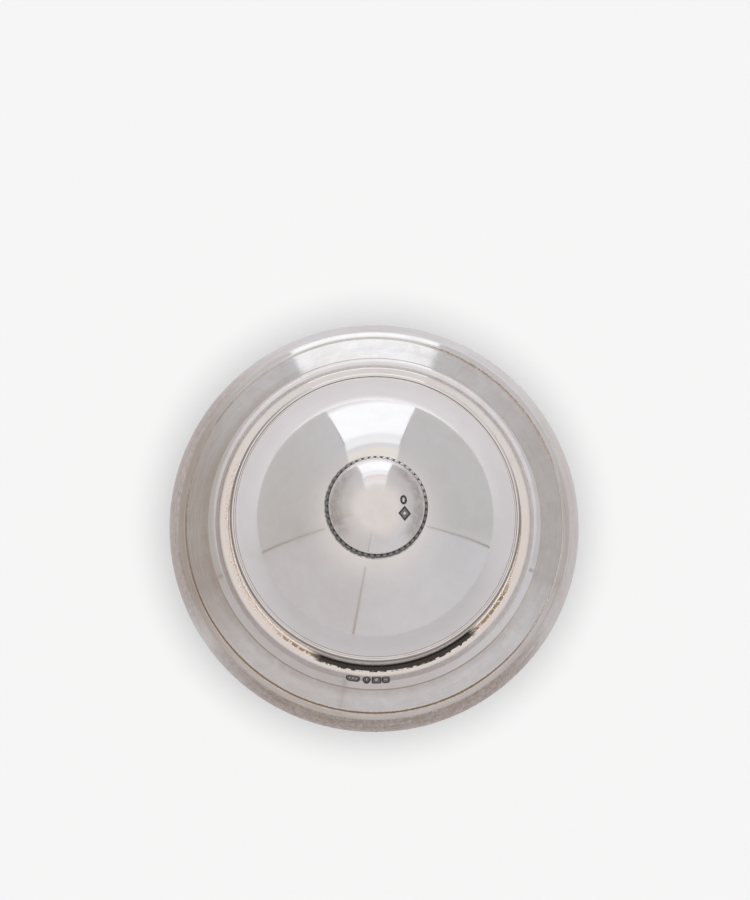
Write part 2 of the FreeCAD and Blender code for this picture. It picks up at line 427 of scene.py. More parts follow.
foot_top_r = 28.2
foot_piece = turned("foot_spun", "foot_ring", "bowl", "foot_silver", [
    (foot_top_r, belly_underside(foot_top_r)),
    (foot.r, foot.low, -FOOT_SWEEP),
    (foot.r - FOOT_WALL, foot.low),
    (foot_top_r - FOOT_WALL, belly_underside(foot_top_r - FOOT_WALL), FOOT_SWEEP),
])

foot_in_r = 31.2
foot_wire_piece = turned("foot_edge", "foot_wire", "bowl", "foot_silver", [
    (foot_in_r, foot_rim.low),
    (foot_rim.r - 0.6, foot_rim.low),
    (foot_rim.r - 0.6, foot_rim.top, -0.6),
    (foot_in_r, foot_rim.top),
])

# %% [markdown]
# ## The lid
#
# The dome is a little less than half a ball. Its edge turns down inside an upright band, and an angle ring inside
# the band's foot drops into the neck. The three are soldered, so they ride together on the lid's body.

# %% Dome, band and bezel
LID_SHEET = 0.9
STUD_HOLE_R = 1.7
DOME_BALL = 41.0
dome_centre = dome.top - math.sqrt(DOME_BALL ** 2 - STUD_HOLE_R ** 2)
dome_inner = DOME_BALL - LID_SHEET
dome_in_r = dome.r - LID_SHEET
dome_piece = turned("dome_raised", "lid_dome", "lid", "lid_silver", [
    ball_arc(dome_inner, dome_centre, dome_in_r, STUD_HOLE_R),
    (STUD_HOLE_R, on_ball(DOME_BALL, dome_centre, STUD_HOLE_R)),
    ball_arc(DOME_BALL, dome_centre, STUD_HOLE_R, dome.r),
    (dome.r, dome.low),
    (dome_in_r, dome.low),
    (dome_in_r, on_ball(dome_inner, dome_centre, dome_in_r)),
])

BAND_ROUND = 0.5
band_in_r = dome.r - 0.01          # the solder leaves no gap to the dome
band_piece = turned("band_drawn", "lid_band", "lid", "lid_silver", [
    (band_in_r, band.low),
    (band.r, band.low),
    (band.r, band.top - BAND_ROUND),
    (band.r - BAND_ROUND, band.top, -0.14),
    (band_in_r, band.top),
], edge=0.03)

bezel_r = 36.35
bezel_in_r = bezel_r - LID_SHEET
bezel_piece = turned("bezel_angle", "lid_bezel", "lid", "lid_silver", [
    (bezel_in_r, bezel.low),
    (bezel_r, bezel.low),
    (bezel_r, band.low),
    (bezel.r, band.low),
    (bezel.r, bezel.top),
    (bezel_in_r, bezel.top),
])

# %% [markdown]
# ## The knob
#
# The button is hollow: a domed cap over a dished plate, with a beaded wire tucked under the cap's lip. A stud runs
# from the plate down through the dome, and a washer and a nut hold it from inside, so that the knob can be taken off
# for repair. Two more punches are struck in its crown, which needs the finest mesh of all.

# %% Cap and plate
KNOB_SHEET = 0.8
LIP_SLOPE = math.radians(55)       # the button is flattest in the middle and this steep at its lip
crown_ball = 18.2
CROWN_R = 9.4
crown_edge = math.asin(CROWN_R / crown_ball)
lip_z = 93.6
round_ball = (cap.r - crown_ball * math.sin(crown_edge)) / (math.sin(LIP_SLOPE) - math.sin(crown_edge))
round_z = lip_z - round_ball * math.cos(LIP_SLOPE)
round_axis_r = cap.r - round_ball * math.sin(LIP_SLOPE)
crown_z = cap.top - crown_ball
crown_in = crown_ball - KNOB_SHEET
round_in = round_ball - KNOB_SHEET


def bulge(radius, a, b):
    """How far an arc of that radius stands out from its chord."""
    half = math.dist(a, b) / 2
    return radius - math.sqrt(radius * radius - half * half)


LIP_WIDTH = 1.6
cap_in_r = cap.r - LIP_WIDTH
knob_lip = (cap.r, lip_z)
join_r = crown_ball * math.sin(crown_edge)
join = (join_r, on_ball(crown_ball, crown_z, join_r))
join_in_r = crown_in * math.sin(crown_edge)
join_in = (join_in_r, on_ball(crown_in, crown_z, join_in_r))
rim_in = (cap_in_r, on_ball(round_in, round_z, cap_in_r - round_axis_r))
top = Vector((0, cap.top))
crown_run = run_points(top, Vector(join), bulge(crown_ball, top, join), 72)


def on_crown(co):
    """To the right and to the back on the knob's crown, and the way in."""
    out = co - Vector((0, 0, crown_z * MM))
    if out.length < (crown_ball - 0.3) * MM or co.x < 0:
        return None
    return co.x / MM, co.y / MM, -out.normalized()


knob_punches = [
    (6.9, 1.15, oval(0.85, 1.15), block(0.28, 0.6, 0.15)),
    (7.2, -2.35, lozenge(1.6, 1.9), oval(0.4, 0.5)),
]
cap_piece = turned("knob_domed", "knob_cap", "lid", "knob_silver", [
    (*join_in, -bulge(round_in, rim_in, join_in)),
    ball_arc(crown_in, crown_z, join_in_r, 0),
    *crown_run,
    join,
    (*knob_lip, bulge(round_ball, join, knob_lip)),
    (cap.r - 0.12, lip_z - 0.22, -0.04),
    (plate.r, cap.low),
    (cap_in_r, cap.low),
    rim_in,
], turns=432, edge=0.06, strike=struck(on_crown, knob_punches))

plate_hole_r = 1.5
plate_ball = DOME_BALL + 1.0
plate_piece = turned("knob_dish", "knob_plate", "lid", "knob_silver", [
    ball_arc(DOME_BALL, dome_centre, plate.r, plate_hole_r),
    (plate_hole_r, on_ball(plate_ball, dome_centre, plate_hole_r)),
    ball_arc(plate_ball, dome_centre, plate_hole_r, plate.r),
    (plate.r, on_ball(DOME_BALL, dome_centre, plate.r)),
])

# %% [markdown]
# A beaded wire is rolled between grooved rollers, which leaves equal beads joined at narrow waists. Here one small
# ball is copied round the ring. The balls just sink into each other, so a waist shows between every pair.

# %% Beaded wire
BEADS = 49
bead_r = (beads.top - beads.low) / 2
bead_ring_r = beads.r - bead_r
bead_z = (beads.top + beads.low) / 2
bm = bmesh.new()
for i in range(BEADS):
    turn = Matrix.Rotation(2 * math.pi * i / BEADS, 4, "Z")
    place = turn @ Matrix.Translation((bead_ring_r * MM, 0, bead_z * MM))
    bmesh.ops.create_uvsphere(bm, u_segments=20, v_segments=12, radius=bead_r * MM, matrix=place)
bead_piece = finish_mesh(bm, "beaded_wire", "lid", "beaded_silver", "knob_beads", edge=0, modifiers=False)

# %% [markdown]
# The stud, washer and nut only show when the lid is lifted and seen from below. The nut is a six-sided bar with its
# corners turned off, and the stud's thread is a row of fine V-shaped rings, which at half a millimetre looks the same
# as a true helix.

# %% Stud, washer and nut
THREAD_PITCH = 0.5
THREAD_DEPTH = 0.27
head_r = stud.r
stud_r = 1.48
head_low = stud.top - 1.0
thread_top = washer.top - 0.2
thread_count = int((thread_top - stud.low) / THREAD_PITCH)
stud_corners = [(0, stud.top), (0, stud.low), (stud_r - THREAD_DEPTH, stud.low)]
for i in range(thread_count):
    stud_corners.append((stud_r, stud.low + (i + 0.5) * THREAD_PITCH))
    stud_corners.append((stud_r - THREAD_DEPTH, stud.low + (i + 1) * THREAD_PITCH))
stud_corners += [(stud_r, thread_top + 0.1), (stud_r, head_low), (head_r, head_low), (head_r, stud.top)]
stud_piece = turned("knob_stud_cut", "knob_stud", "lid", "fixing_silver", stud_corners, turns=48,
                    edge=0.03, rounds=1)

washer_piece = turned("knob_washer_flat", "knob_washer", "lid", "fixing_silver",
                      flat_ring(STUD_HOLE_R, washer.r, washer.low, washer.top), turns=64, edge=0.1)

nut_bore_r = 1.53
bm = bmesh.new()
depth = (nut.top - nut.low) * MM
nut_foot = Matrix.Translation((0, 0, nut.low * MM))
for circle_r, corners in ((nut.r, 6), (nut_bore_r, 36)):
    bmesh.ops.create_circle(bm, cap_ends=False, radius=circle_r * MM, segments=corners, matrix=nut_foot)
bmesh.ops.triangle_fill(bm, edges=bm.edges[:], use_beauty=True)
lifted = bmesh.ops.extrude_face_region(bm, geom=bm.faces[:])
bmesh.ops.translate(bm, vec=(0, 0, depth), verts=[v for v in lifted["geom"] if isinstance(v, bmesh.types.BMVert)])
nut_piece = finish_mesh(bm, "knob_nut_milled", "lid", "fixing_silver", "knob_nut", sharp=40, edge=0.18, rounds=2)

# %% [markdown]
# ## How the silver's finish is built
#
# Polished silver has hardly a colour of its own. What tells an old piece from a new one is what lies on the mirror:
# slow waves left by the hammer, hairlines from years of cloths, a thin warm tarnish that comes in clouds, and black
# sulphide wherever a cloth can't reach. The same black is also painted as shade into gaps and hollows. Each of
# those is one node group here, built once and placed in every finish with its own values. Called with those
# values, a group gives a mask, and masks can be multiplied (the overlap) or joined with | (either). Lengths inside
# the groups are in millimetres.

# %% Small tools for node trees
def put(tree, kind, feeds=None, **settings):
    """Adds a shader node, applies its settings, then feeds its inputs from numbers, colours or other nodes."""
    node = tree.nodes.new("ShaderNode" + kind)
    for key, value in settings.items():
        setattr(node, key, value)
    for key, value in (feeds or {}).items():
        if isinstance(value, bpy.types.NodeSocket):
            tree.links.new(value, node.inputs[key])
        else:
            node.inputs[key].default_value = value
    return node


def maths(tree, operation, *values):
    """One step of arithmetic."""
    return put(tree, "Math", dict(enumerate(values)), operation=operation).outputs[0]


def smooth_step(tree, value, low, high):
    """0 below low, 1 above high, and a soft change between them."""
    feeds = {"Value": value, "From Min": low, "From Max": high}
    return put(tree, "MapRange", feeds, interpolation_type="SMOOTHSTEP").outputs["Result"]


def blend(tree, factor, first, second):
    """A colour between two colours."""
    return put(tree, "Mix", {0: factor, 6: first, 7: second}, data_type="RGBA").outputs[2]


class Mask:
    """Where something lies, as a recipe for a finish. * keeps the overlap, | takes both, and a number weakens it."""

    def __init__(self, recipe):
        self.recipe = recipe

    def __mul__(self, other):
        return Mask(lambda finish: maths(finish.tree, "MULTIPLY", finish.read(self), finish.read(other)))

    def __or__(self, other):
        return Mask(lambda finish: maths(finish.tree, "MAXIMUM", finish.read(self), finish.read(other)))


def shared_group(output="Mask", **inputs):
    """Makes a group with a Vector input, number inputs with their usual values, and one output.

    The group is then called with its numbers, in order, and gives a mask.
    """
    def make(recipe):
        group = bpy.data.node_groups.new(recipe.__name__, "ShaderNodeTree")
        group.interface.new_socket(name="Vector", in_out="INPUT", socket_type="NodeSocketVector")
        for label, value in inputs.items():
            label = label.replace("_", " ")
            socket = group.interface.new_socket(name=label, in_out="INPUT", socket_type="NodeSocketFloat")
            socket.default_value = value
        group.interface.new_socket(name=output, in_out="OUTPUT", socket_type="NodeSocketFloat")
        given = group.nodes.new("NodeGroupInput").outputs
        result = group.nodes.new("NodeGroupOutput").inputs[0]
        group.links.new(recipe(group, given), result)
        return lambda *values: Mask(lambda finish: finish.place(group, values))
    return make


def from_axis(tree, vector):
    """The three coordinates, the flat vector from the axis, and its length."""
    parts = put(tree, "SeparateXYZ", {0: vector}).outputs
    flat = put(tree, "CombineXYZ", {0: parts[0], 1: parts[1]}).outputs[0]
    return parts, flat, put(tree, "VectorMath", {0: flat}, operation="LENGTH").outputs["Value"]


# %% [markdown]
# Three groups say where something is: a ring at some distance from the axis, a sector of the circle, and a band of
# heights. Bearings are told like a clock's hand, in degrees clockwise from the back when seen from above.

# %% Groups that say where
@shared_group(Radius=50, Half_Width=1, Soft=0.5)
def ring_zone(tree, given):
    """1 within Half Width of Radius, fading out over Soft."""
    parts, flat, reach = from_axis(tree, given["Vector"])
    off = maths(tree, "ABSOLUTE", maths(tree, "SUBTRACT", reach, given["Radius"]))
    edge = maths(tree, "ADD", given["Half Width"], given["Soft"])
    return smooth_step(tree, off, edge, given["Half Width"])


@shared_group(Middle=180, Half_Angle=30, Soft=10)
def sector(tree, given):
    """1 within Half Angle of the bearing Middle, fading out over Soft degrees."""
    parts = put(tree, "SeparateXYZ", {0: given["Vector"]}).outputs
    bearing = maths(tree, "DEGREES", maths(tree, "ARCTAN2", parts[0], parts[1]))
    turn = maths(tree, "WRAP", maths(tree, "SUBTRACT", bearing, given["Middle"]), 180, -180)
    edge = maths(tree, "ADD", given["Half Angle"], given["Soft"])
    return smooth_step(tree, maths(tree, "ABSOLUTE", turn), edge, given["Half Angle"])


@shared_group(Low=0, High=10, Soft=0.5)
def height_zone(tree, given):
    """1 between the heights Low and High, fading out over Soft."""
    height = put(tree, "SeparateXYZ", {0: given["Vector"]}).outputs[2]
    rise = smooth_step(tree, height, maths(tree, "SUBTRACT", given["Low"], given["Soft"]), given["Low"])
    fall = smooth_step(tree, height, maths(tree, "ADD", given["High"], given["Soft"]), given["High"])
    return maths(tree, "MULTIPLY", rise, fall)


# %% [markdown]
# Four more groups are the marks of making and of age. The hammer's waves are one broad, weak noise. Hairlines are
# noise stretched until it turns into scratches, taken in three directions and cut down to its crests. Tarnish is a
# cloudy noise broken up by a finer one. Streaks run round the axis, as a turned ring is burnished and wiped.

# %% Groups for making and age
@shared_group("Height", Length=18)
def hammer_waves(tree, given):
    """Slow rise and fall of a hand-finished surface, from 0 to 1, repeating about every Length."""
    scale = maths(tree, "DIVIDE", 1, given["Length"])
    feeds = {"Vector": given["Vector"], "Scale": scale, "Detail": 1.0, "Roughness": 0.4}
    return put(tree, "TexNoise", feeds).outputs["Fac"]


@shared_group(Amount=0.5, Fineness=5)
def hairlines(tree, given):
    """Fine scratches in three directions. Amount says how many of the crests are kept."""
    threshold = put(tree, "MapRange", {"Value": given["Amount"], "To Min": 0.8, "To Max": 0.55}).outputs[0]
    lines = None
    for turn in (17, 76, 139):
        feeds = {"Vector": given["Vector"], "Rotation": (0, 0, math.radians(turn)), "Scale": (0.06, 1, 0.5)}
        along = put(tree, "Mapping", feeds).outputs[0]
        feeds = {"Vector": along, "Scale": given["Fineness"], "Detail": 3.0, "Roughness": 0.6}
        crest = put(tree, "TexNoise", feeds).outputs["Fac"]
        line = smooth_step(tree, crest, threshold, maths(tree, "ADD", threshold, 0.08))
        lines = line if lines is None else maths(tree, "MAXIMUM", lines, line)
    return lines


@shared_group(Patch=8, Cover=0.4, Edge=0.12)
def tarnish(tree, given):
    """Cloudy patches about Patch across. Cover runs from 0, none, to 1, everywhere."""
    scale = maths(tree, "DIVIDE", 1, given["Patch"])
    feeds = {"Vector": given["Vector"], "Scale": scale, "Detail": 8.0, "Roughness": 0.62, "Distortion": 0.4}
    clouds = put(tree, "TexNoise", feeds).outputs["Fac"]
    level = put(tree, "MapRange", {"Value": given["Cover"], "To Min": 0.8, "To Max": 0.2}).outputs[0]
    low = maths(tree, "SUBTRACT", level, given["Edge"])
    return smooth_step(tree, clouds, low, maths(tree, "ADD", level, given["Edge"]))


@shared_group(Reach=12, Width=0.5)
def streaks(tree, given):
    """Streaks along the turn, Reach long at 50 mm from the axis and Width wide."""
    parts, flat, reach = from_axis(tree, given["Vector"])
    heading = put(tree, "VectorMath", {0: flat}, operation="NORMALIZE").outputs[0]
    turns = maths(tree, "DIVIDE", 50, given["Reach"])
    round_axis = put(tree, "VectorMath", {0: heading, "Scale": turns}, operation="SCALE").outputs[0]
    spread = put(tree, "SeparateXYZ", {0: round_axis}).outputs
    across = maths(tree, "DIVIDE", maths(tree, "SUBTRACT", reach, parts[2]), given["Width"])
    place = put(tree, "CombineXYZ", {0: spread[0], 1: spread[1], 2: across}).outputs[0]
    noise = put(tree, "TexNoise", {"Vector": place, "Scale": 1.0, "Detail": 4.0, "Roughness": 0.65})
    return smooth_step(tree, noise.outputs["Fac"], 0.42, 0.66)


dirt_in_punches = Mask(lambda finish: put(finish.tree, "Attribute", attribute_name="punch_dirt").outputs["Fac"])
print("groups:", ", ".join(group.name for group in bpy.data.node_groups))

# %% [markdown]
# ## A finish in layers
#
# Every finish starts as clean silver. Each layer then covers it where its mask says so, with a colour, a
# roughness and a share of metal: tarnish is still metallic, but crusted sulphide is not. At the end the layers go
# to one Principled shader, and all the heights go to one bump.

# %% The layered finish
SILVER = (0.93, 0.915, 0.90, 1)
WARM_FILM = (0.80, 0.755, 0.70, 1)
BROWN = (0.30, 0.225, 0.16, 1)
# Near-black: real sulphide, and also painted shadow in the lid's gap and in the beads' hollows.
SULPHIDE_AND_SHADE = (0.022, 0.018, 0.015, 1)


class Finish:
    """Silver that is built up in layers, the way a surface ages."""

    def __init__(self, name, colour=SILVER, rough=0.07):
        self.material = bpy.data.materials.new(name)
        self.material.use_nodes = True
        self.tree = self.material.node_tree
        self.shader = self.tree.nodes["Principled BSDF"]
        place = put(self.tree, "TexCoord").outputs["Object"]
        self.mm = put(self.tree, "VectorMath", {0: place, "Scale": 1 / MM}, operation="SCALE").outputs[0]
        self.colour = colour
        self.rough = rough
        self.metal = 1.0
        self.height = None
        self.built = {}

    def place(self, group, values):
        """Places a shared group in this finish, with its inputs' values in order."""
        return put(self.tree, "Group", dict(enumerate([self.mm, *values])), node_tree=group).outputs[0]

    def read(self, mask):
        """The socket of a mask in this finish, built when first asked for. A number stays a number."""
        if not isinstance(mask, Mask):
            return mask
        if mask not in self.built:
            self.built[mask] = mask.recipe(self)
        return self.built[mask]

    def layer(self, mask, colour, rough=None, metal=None):
        """Covers the finish with a colour, and if given, a roughness and a share of metal, where the mask is."""
        factor = self.read(mask)
        self.colour = blend(self.tree, factor, self.colour, colour)
        if rough is not None:
            self.rough = self.between(factor, self.rough, rough)
        if metal is not None:
            self.metal = self.between(factor, self.metal, metal)

    def between(self, factor, first, second):
        """A number between two numbers."""
        return put(self.tree, "Mix", {0: factor, 2: first, 3: second}).outputs[0]

    def raise_by(self, mask, amount):
        """Lifts the surface by amount, in millimetres, where the mask is, or sinks it for a negative amount."""
        step = self.read(mask * (amount * MM))
        self.height = step if self.height is None else maths(self.tree, "ADD", self.height, step)

    def give_to(self, *pieces):
        """Joins the layers to the shader and puts the material on the pieces."""
        feeds = {"Base Color": self.colour, "Roughness": self.rough, "Metallic": self.metal}
        if self.height is not None:
            bump = put(self.tree, "Bump", {"Height": self.height, "Distance": 1.0})
            feeds["Normal"] = bump.outputs["Normal"]
        for label, value in feeds.items():
            if isinstance(value, bpy.types.NodeSocket):
                self.tree.links.new(value, self.shader.inputs[label])
            else:
                self.shader.inputs[label].default_value = value
        for piece in pieces:
            piece.data.materials.clear()
            piece.data.materials.append(self.material)
        print(f"{self.material.name}: {len(self.tree.nodes)} nodes on {len(pieces)} pieces")


HAIRLINE_DEPTH = 0.0006


def aged_silver(name, colour=SILVER, rough=0.07, wave=0.02, length=18, cover=0.35, patch=9, film=WARM_FILM,
                film_strength=0.5, scratches=0.5):
    """Clean silver with the three marks that every piece of the bowl has, each in its own strength."""
    finish = Finish(name, colour, rough)
    finish.raise_by(hammer_waves(length), wave)
    lines = hairlines(scratches)
    finish.raise_by(lines, -HAIRLINE_DEPTH)
    finish.layer(lines * 0.35, WARM_FILM, rough=rough + 0.12)
    finish.layer(tarnish(patch, cover, 0.2) * film_strength, film, rough=rough + 0.1)
    return finish


# %% [markdown]
# Where dirt gathers is told by ring and by bearing. The bowl's front and left sides are the most tarnished, since
# the cloth goes over the lid and the back more often. The lines between soldered rings hold brown polish. At the
# front the gap round the lid is painted black: a painted shadow of the crevice, with some black deposit in it.

# %% Finish of the bowl's body
DULL_BROWN = (0.54, 0.455, 0.39, 1)
DARK_BROWN = (0.38, 0.31, 0.26, 1)
POLISH = (0.20, 0.14, 0.10, 1)         # dried polish, brown
PEACH = (0.86, 0.77, 0.70, 1)
finish = aged_silver("belly_silver", rough=0.09, cover=0.4, patch=11)
outer_band = height_zone(belly_z - 1, body.top, 11)
front = sector(178, 34, 38)
left = sector(280, 24, 34) * 0.85
right = sector(95, 20, 30) * 0.35
mottle = tarnish(1.5, 0.78, 0.4)
finish.layer(outer_band * (front | left | right) * mottle, DULL_BROWN, rough=0.24)
wiped = streaks(9, 0.45)
finish.layer(outer_band * (front | left | 0.35) * wiped * 0.55, DARK_BROWN, rough=0.3)
grime = tarnish(0.9, 0.42, 0.1)
low_front = sector(172, 30, 25)
finish.layer(outer_band * low_front * grime * 0.45, (0.36, 0.29, 0.23, 1), rough=0.4)
lip_face = height_zone(body.top - 0.2, body.top + 1, 0.2)
groove = lip_face * ring_zone((shoulder.r + wire_in_r) / 2, 0.3, 0.2)
dirty_groove = sector(198, 45, 50)
finish.layer(groove * dirty_groove, POLISH, rough=0.6, metal=0.2)
finish.give_to(bowl)

# %% Finish of the girdle wire and the shoulder ring
finish = aged_silver("girdle_silver", rough=0.08, cover=0.35, patch=4)
left = sector(272, 22, 28)
finish.layer(left * 0.68, DULL_BROWN, rough=0.2)
dull_front = sector(160, 70, 30)
finish.layer(dull_front * 0.35, DULL_BROWN, rough=0.16)
inner_edge = ring_zone(wire_in_r, 0.25, 0.3)
front = sector(188, 38, 20)
right_back = sector(45, 22, 12)
grime = tarnish(0.7, 0.6, 0.15)
finish.layer(inner_edge * (front | right_back) * grime * 0.9, BROWN, rough=0.5, metal=0.4)
wiped = streaks(10, 0.3)
sides = sector(190, 120, 40)
finish.layer(wiped * sides * 0.3, DULL_BROWN, rough=0.2)
outer_line = ring_zone(girdle.r - 0.2, 0.1, 0.18)
round_front = sector(190, 80, 40)
finish.layer(outer_line * round_front * 0.5, BROWN, rough=0.4, metal=0.6)
finish.give_to(girdle_piece)

finish = aged_silver("shoulder_silver", colour=(0.89, 0.875, 0.86, 1), rough=0.09, wave=0.01, cover=0.5, patch=5,
                     film=(0.70, 0.65, 0.60, 1), film_strength=0.45, scratches=0.6)
left = sector(268, 16, 34)
right = sector(86, 18, 28) * 0.5
finish.layer((left | right) * 0.52, DULL_BROWN, rough=0.2)
crease = ring_zone(neck.r, 0.5, 2.2)
sides = sector(230, 90, 40) * 0.8
finish.layer(crease * tarnish(3, 0.7, 0.2) * sides * 0.5, DULL_BROWN)
crease_line = ring_zone(neck.r + 0.06, 0.1, 0.18)
finish.layer(crease_line * 0.5, BROWN, rough=0.4, metal=0.6)
# Painted shadow: along the neck's foot at the front a darker line is painted over the brown polish line.
shaded_front_crease = ring_zone(neck.r + 0.08, 0.16, 0.15) * sector(190, 45, 30)
finish.layer(shaded_front_crease * 0.7, (0.22, 0.18, 0.15, 1), rough=0.4, metal=0.6)
outer_edge = ring_zone(shoulder.r, 0.12, 0.35)
front = sector(190, 45, 20)
right_back = sector(44, 20, 14)
grime = tarnish(0.8, 0.62, 0.15)
finish.layer(outer_edge * (front | right_back) * grime, BROWN, rough=0.5, metal=0.3)
wiped = streaks(7, 0.6)
finish.layer(wiped * (left | right | 0.3) * 0.32, DULL_BROWN, rough=0.2)
specks = tarnish(0.6, 0.24, 0.05)
finish.layer(specks * 0.35, (0.5, 0.44, 0.38, 1), rough=0.3)
finish.give_to(shoulder_piece)

# %% Finish of the neck and the seat
finish = aged_silver("neck_silver", rough=0.08, wave=0.006, cover=0.35, patch=5)
side = height_zone(neck.low, neck.top - 0.5, 0.2)
left = sector(225, 60, 40)
finish.layer(side * left * 0.3, DULL_BROWN, rough=0.16)
ledge = height_zone(neck.top - 0.15, neck.top + 1, 0.12)
round_front = sector(190, 95, 35)
finish.layer(ledge * round_front * 0.7, (0.95, 0.87, 0.81, 1), rough=0.16)
dots = tarnish(0.55, 0.4, 0.06)
dotted = sector(250, 38, 10) | sector(123, 9, 5)
inner_ledge = ring_zone(ledge_in_r + 0.5, 0.3, 0.4)
finish.layer(ledge * inner_ledge * dots * dotted * 0.8, (0.45, 0.32, 0.21, 1), rough=0.5, metal=0.5)
crust_line = ring_zone(ledge_in_r + 0.1, 0.55, 0.3)
crust = tarnish(1.1, 0.62, 0.08)
near_gap = sector(168, 48, 10)
finish.layer(ledge * crust_line * crust * near_gap, (0.20, 0.14, 0.09, 1), rough=0.6, metal=0.2)
# Painted shadow: at the front the gap round the lid is painted black, as the crevice in shade, with a ragged edge of
# black deposit.
shaded_gap_sector = sector(171, 30, 6)
gap_shadow_line = ring_zone(ledge_in_r + 0.3, 0.68, 0.12)
ragged_gap_shadow_line = ring_zone(ledge_in_r + 0.6, 0.7, 0.15)
ragged = tarnish(1.6, 0.55, 0.05)
gap_shadow_and_sulphide = shaded_gap_sector * (gap_shadow_line | ragged_gap_shadow_line * ragged)
finish.layer(gap_shadow_and_sulphide, SULPHIDE_AND_SHADE, rough=0.6, metal=0.1)
hem = height_zone(seat.top - 1, neck.top - 0.3, 0.3)
hem_wall = ring_zone(ledge_in_r, 0.12, 0.1)
finish.layer(hem * hem_wall, PEACH, rough=0.5, metal=0.3)
# Painted shadow on the hem's wall inside the gap at the front.
finish.layer(hem * hem_wall * shaded_gap_sector, SULPHIDE_AND_SHADE, rough=0.6, metal=0.1)
finish.layer(dirt_in_punches, (0.03, 0.027, 0.024, 1), rough=0.6, metal=0.1)
finish.give_to(neck_piece)

finish = aged_silver("seat_silver", rough=0.2, cover=0.6)
in_gap = ring_zone(ledge_in_r, 1.1, 0.2)
finish.layer(in_gap, PEACH, rough=0.6, metal=0.1)
# Painted shadow on the seat inside the gap at the front.
finish.layer(in_gap * shaded_gap_sector, SULPHIDE_AND_SHADE, rough=0.7, metal=0.1)
finish.give_to(seat_piece)

# %% Finish of the foot
finish = aged_silver("foot_silver", rough=0.1, cover=0.5, film_strength=0.6)
finish.give_to(foot_piece, foot_wire_piece)

# %% Finish of the lid
finish = aged_silver("dome_silver", rough=0.06, wave=0.03, length=24, cover=0.4, patch=14, film_strength=0.35)
smears = tarnish(3, 0.45, 0.25)
finish.layer(smears * 0.18, (0.80, 0.765, 0.73, 1), rough=0.14)
# Painted shade with some soot: a dark ring on the dome where the beads meet it, bolder on the left and front, where
# the gap under the knob's lip lies in shade.
bead_contact_shadow = ring_zone(beads.r - 0.45, 0.5, 0.15)
finish.layer(bead_contact_shadow, (0.05, 0.05, 0.05, 1), rough=0.5, metal=0.3)
beside_beads_shade = ring_zone(beads.r, 0.25, 0.35)
shaded_sooty_side = sector(235, 85, 40)
grime = tarnish(0.9, 0.62, 0.2)
finish.layer(beside_beads_shade * shaded_sooty_side * grime, (0.12, 0.115, 0.11, 1), rough=0.4, metal=0.5)
finish.give_to(dome_piece)

finish = aged_silver("lid_band_silver", rough=0.07, wave=0.004, cover=0.35, patch=6)
upright = height_zone(band.low, band.top - 0.5, 0.2)
front = sector(175, 62, 30)
finish.layer(upright * front * 0.8, (0.93, 0.88, 0.83, 1), rough=0.42, metal=0.55)
foot_of_band = height_zone(band.low - 1, band.low + 0.5, 1.6)
spots = tarnish(0.8, 0.5, 0.12)
# Brown deposit spots on the band's foot, only in the front sector where the gap is painted in shade.
shaded_gap_sector = sector(171, 32, 8)
band_only = height_zone(band.low, band.top + 1, 0.1)
finish.layer(foot_of_band * band_only * spots * shaded_gap_sector, (0.14, 0.105, 0.075, 1), rough=0.6, metal=0.2)
# Painted shade: the band's rounded top edge is painted dark grey all round except where it faces the window.
shaded_top_edge = height_zone(band.top - 0.4, band.top + 1, 0.12)
outer_half = ring_zone(band.r, 0.48, 0.15)
shaded_away_from_window = sector(195, 95, 55)
finish.layer(shaded_top_edge * outer_half * shaded_away_from_window * 0.9, (0.29, 0.27, 0.26, 1), rough=0.3)
finish.give_to(band_piece, bezel_piece)

# %% Finish of the knob
finish = aged_silver("knob_silver", colour=(0.945, 0.915, 0.895, 1), rough=0.1, wave=0.004, length=7, cover=0.35,
                     patch=5, film_strength=0.4)
# Painted shade: the crown is darkened in patches towards its left and right sides.
shade = ring_zone(cap.r - 1.1, 0.5, 2.4)
shade_patches = tarnish(1.6, 0.7, 0.3)
right = sector(82, 38, 30)
left = sector(275, 32, 30)
finish.layer(shade * shade_patches * (right | left) * 0.85, (0.55, 0.50, 0.47, 1), rough=0.2)
finish.layer(dirt_in_punches, (0.03, 0.028, 0.026, 1), rough=0.6, metal=0.1)
finish.give_to(cap_piece, plate_piece)

# %% Finish of the beads
finish = aged_silver("beaded_silver", rough=0.12, wave=0.001, cover=0.5, patch=2)
# The beads' lower halves are darkened: partly sulphide, partly painted shade under them. On the left and front, where
# the beads mirror dark surroundings, they are painted darker still as shade.
flanks = height_zone(beads.low - 1, bead_z + 0.35, 0.25)
shaded_bead_side = sector(205, 105, 50)
finish.layer(flanks * 0.55, (0.16, 0.155, 0.15, 1), rough=0.3)
finish.layer(flanks * shaded_bead_side * 0.6, (0.10, 0.10, 0.10, 1), rough=0.3)
finish.layer(shaded_bead_side * 0.6, (0.20, 0.20, 0.205, 1), rough=0.25)
# Painted shade with some sulphide: the hollows under the cap's lip are painted near-black.
shaded_hollows = ring_zone(bead_ring_r - 1.0, 1.15, 0.3)
wide_shaded_hollows = ring_zone(bead_ring_r - 0.9, 1.3, 0.3) * shaded_bead_side * 0.92
finish.layer((shaded_hollows | wide_shaded_hollows) * 0.93, SULPHIDE_AND_SHADE, rough=0.5, metal=0.2)
finish.give_to(bead_piece)

finish = aged_silver("fixing_silver", rough=0.22, wave=0.001, cover=0.6, patch=3)
finish.give_to(stud_piece, washer_piece, nut_piece)

# %% [markdown]
# ## The stage
#
# The floor is plain and pale. A card tent stands round the bowl, open towards a window at the back. The cards only
# exist for the silver: the camera, the floor and the shadows don't see them. The floor is a little darker in the
# silver than to the camera, as on a real bench where the backdrop is lit apart. Only in the silver, a pool of
# light from the window is painted on the floor, brighter towards the back.

